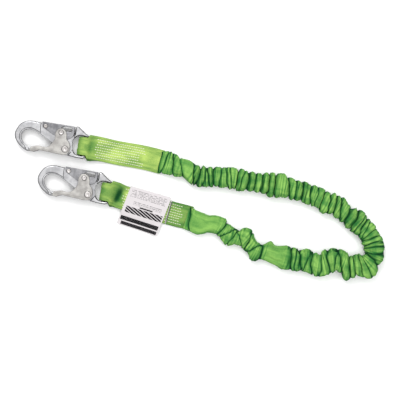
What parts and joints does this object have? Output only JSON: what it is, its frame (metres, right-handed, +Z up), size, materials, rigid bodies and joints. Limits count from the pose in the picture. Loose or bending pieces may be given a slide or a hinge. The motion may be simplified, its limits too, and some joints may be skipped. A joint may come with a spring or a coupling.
{
  "type": "shock absorbing lanyard",
  "caption": "Stretchable shock absorbing lanyard: gathered webbing shell over an energy-absorbing core, with stitched end straps and double-locking snap hooks.",
  "frame": {"origin": "under the middle of the lanyard's plan, on the surface that it lies on", "axes": "+Z up from that surface; +X from the hooks towards the bend of the U; +Y towards the first hook's side"},
  "size_m": [0.681, 0.2866, 0.0219],
  "materials": {
    "hook_steel": "zinc plated forging, satin",
    "plate_steel": "zinc plated stamping, satin",
    "rivet_steel": "bright, headed",
    "spring_steel": "dull wire",
    "green_webbing": "woven, slightly lustrous",
    "core_webbing": "woven",
    "elastic": "knitted",
    "pale_thread": "twisted thread",
    "label_film": "coated label sheet",
    "black_thread": "twisted thread"
  },
  "bodies": {
    "lanyard": {"end_strap_a": "green_webbing", "wear_liner_a": "core_webbing", "pack_stitching_a": "pale_thread", "end_strap_b": "green_webbing", "wear_liner_b": "core_webbing", "pack_stitching_b": "pale_thread", "stretch_shell": "green_webbing", "energy_core": "core_webbing", "elastic_tape": "elastic", "label_tab": "label_film", "label_seam": "black_thread"},
    "label_flap": {"label_page": "label_film"},
    "hook_a": {"hook_body_a": "hook_steel", "gate_rivet_a": "rivet_steel", "lever_rivet_a": "rivet_steel", "gate_spring_a": "spring_steel", "lever_spring_a": "spring_steel"},
    "gate_set_a": {"gate_a": "plate_steel", "lock_pin_a": "rivet_steel"},
    "lever_set_a": {"lock_lever_a": "plate_steel"},
    "hook_b": {"hook_body_b": "hook_steel", "gate_rivet_b": "rivet_steel", "lever_rivet_b": "rivet_steel", "gate_spring_b": "spring_steel", "lever_spring_b": "spring_steel"},
    "gate_set_b": {"gate_b": "plate_steel", "lock_pin_b": "rivet_steel"},
    "lever_set_b": {"lock_lever_b": "plate_steel"}
  },
  "joints": [
    {"name": "hook_swing_a", "type": "hinge", "parent": "lanyard", "child": "hook_a", "pos_m": [-0.21174, 0.09563, 0.0105], "axis": [0.1614, 0.9869, 0], "range_deg": [0, 90]},
    {"name": "gate_open_a", "type": "hinge", "parent": "hook_a", "child": "gate_set_a", "pos_m": [-0.24745, 0.09042, 0.0105], "axis": [0, 0, 1], "range_deg": [-22, 0], "stiffness_Nm_per_rad": 0.6, "springref_deg": 17.19, "deforming": ["gate_spring_a"]},
    {"name": "lever_press_a", "type": "hinge", "parent": "hook_a", "child": "lever_set_a", "pos_m": [-0.2832, 0.13325, 0.0105], "axis": [0, 0, 1], "range_deg": [-9.02, 0], "stiffness_Nm_per_rad": 0.3, "springref_deg": 11.46, "deforming": ["lever_spring_a"]},
    {"name": "hook_swing_b", "type": "hinge", "parent": "lanyard", "child": "hook_b", "pos_m": [-0.16974, 0.01112, 0.0105], "axis": [0.1789, 0.9839, 0], "range_deg": [0, 90]},
    {"name": "gate_open_b", "type": "hinge", "parent": "hook_b", "child": "gate_set_b", "pos_m": [-0.20554, 0.00655, 0.0105], "axis": [0, 0, 1], "range_deg": [-22, 0], "stiffness_Nm_per_rad": 0.6, "springref_deg": 17.19, "deforming": ["gate_spring_b"]},
    {"name": "lever_press_b", "type": "hinge", "parent": "hook_b", "child": "lever_set_b", "pos_m": [-0.24053, 0.05001, 0.0105], "axis": [0, 0, 1], "range_deg": [-9.02, 0], "stiffness_Nm_per_rad": 0.3, "springref_deg": 11.46, "deforming": ["lever_spring_b"]},
    {"name": "label_flip", "type": "hinge", "parent": "lanyard", "child": "label_flap", "pos_m": [-0.05794, -0.0258, 0.00695], "axis": [0.2802, 0.9599, 0], "range_deg": [0, 110]}
  ],
  "couplings": [
    {"joint": "lever_press_a", "follows": "gate_open_a", "ratio": 0.41},
    {"joint": "lever_press_b", "follows": "gate_open_b", "ratio": 0.41}
  ]
}
